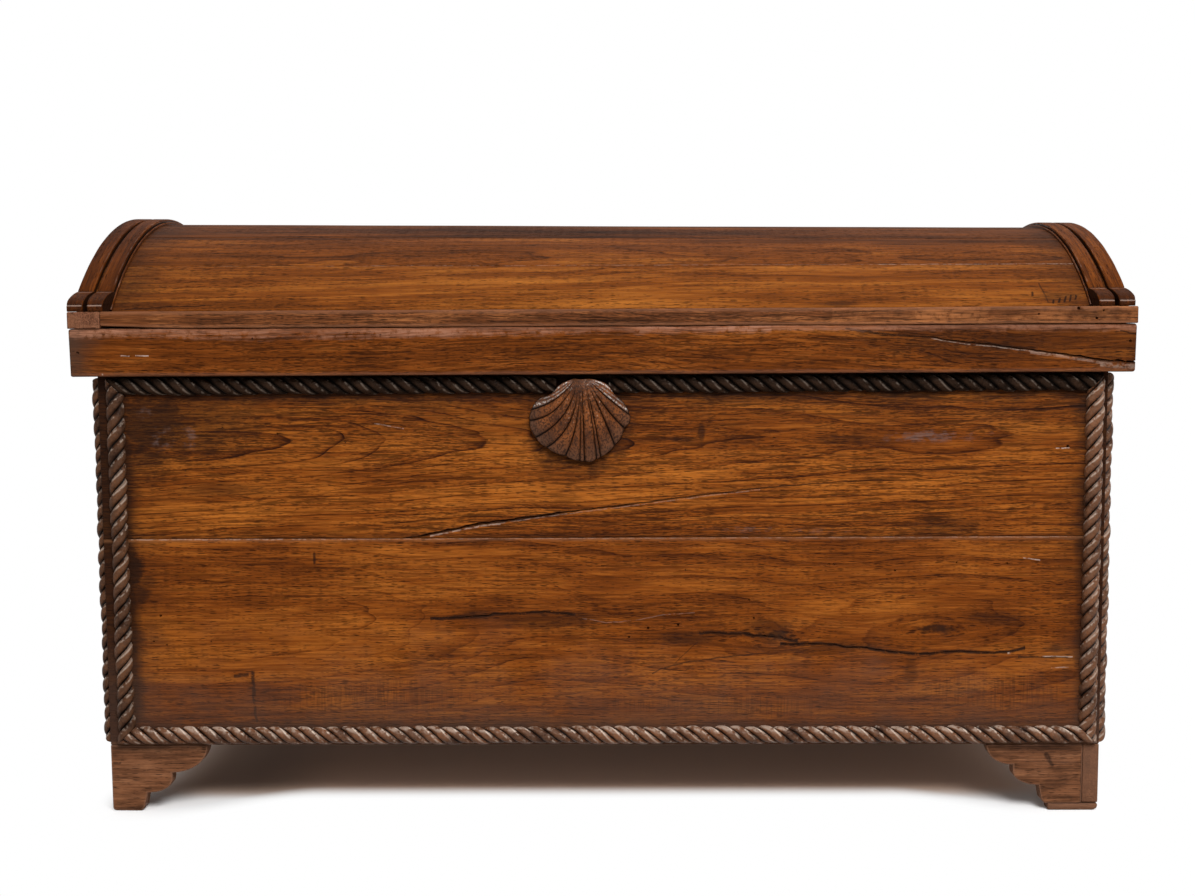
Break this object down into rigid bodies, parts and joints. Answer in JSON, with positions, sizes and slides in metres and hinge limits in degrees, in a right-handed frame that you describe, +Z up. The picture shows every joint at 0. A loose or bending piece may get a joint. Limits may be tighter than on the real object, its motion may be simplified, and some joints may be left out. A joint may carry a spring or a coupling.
{
  "type": "dome-top trunk",
  "caption": "Wooden dome-top dowry trunk: boarded case on bracket feet with rope mouldings and a carved shell, and a hinged lid with a staved dome under end bands.",
  "frame": {"origin": "on the floor, under the middle of the lid", "axes": "+X along the trunk's length to the right of its front, +Y from the front to the back, +Z up"},
  "size_m": [1.25, 0.59, 0.7266],
  "materials": {
    "panel_wood": "waxed, worn",
    "dome_wood": "waxed, worn",
    "rail_wood": "waxed, worn",
    "rope_wood": "dark wax, rubbed",
    "foot_wood": "waxed, worn",
    "shell_wood": "carved, waxed",
    "inside_wood": "bare, aged",
    "hinge_iron": "black, forged"
  },
  "bodies": {
    "case": {"front_board_upper": "panel_wood", "front_board_lower": "panel_wood", "back_board_upper": "panel_wood", "back_board_lower": "panel_wood", "left_end_board_upper": "panel_wood", "left_end_board_lower": "panel_wood", "right_end_board_upper": "panel_wood", "right_end_board_lower": "panel_wood", "bottom_board_front": "inside_wood", "bottom_board_rear": "inside_wood", "front_left_foot_front": "foot_wood", "front_left_foot_side": "foot_wood", "front_right_foot_front": "foot_wood", "front_right_foot_side": "foot_wood", "front_right_foot_sole": "foot_wood", "rear_left_foot_side": "foot_wood", "rear_left_foot_back": "foot_wood", "rear_right_foot_side": "foot_wood", "rear_right_foot_back": "foot_wood", "front_rope_top_left": "rope_wood", "front_rope_top_right": "rope_wood", "front_rope_bottom": "rope_wood", "front_rope_left": "rope_wood", "front_rope_right": "rope_wood", "left_rope_top": "rope_wood", "left_rope_bottom": "rope_wood", "left_rope_front": "rope_wood", "left_rope_rear": "rope_wood", "right_rope_top": "rope_wood", "right_rope_bottom": "rope_wood", "right_rope_front": "rope_wood", "right_rope_rear": "rope_wood", "scallop_shell": "shell_wood", "left_hinge_case_leaf": "hinge_iron", "left_hinge_pin": "hinge_iron", "right_hinge_case_leaf": "hinge_iron", "right_hinge_pin": "hinge_iron"},
    "lid": {"left_hinge_lid_leaf": "hinge_iron", "right_hinge_lid_leaf": "hinge_iron", "lid_front_rail": "rail_wood", "lid_back_rail": "rail_wood", "lid_left_rail": "rail_wood", "lid_right_rail": "rail_wood", "lid_front_strip": "rail_wood", "lid_back_strip": "rail_wood", "lid_left_strip": "rail_wood", "lid_right_strip": "rail_wood", "lid_left_end_board": "panel_wood", "lid_right_end_board": "panel_wood", "lid_stave_1": "dome_wood", "lid_stave_2": "dome_wood", "lid_stave_3": "dome_wood", "lid_stave_4": "dome_wood", "lid_stave_5": "dome_wood", "lid_stave_6": "dome_wood", "lid_stave_7": "dome_wood", "lid_left_outer_band": "rail_wood", "lid_left_inner_band": "rail_wood", "lid_right_outer_band": "rail_wood", "lid_right_inner_band": "rail_wood"}
  },
  "joints": [
    {"name": "lid_hinge", "type": "hinge", "parent": "case", "child": "lid", "pos_m": [0, 0.2751, 0.5272], "axis": [-1, 0, 0], "range_deg": [0, 100]}
  ]
}
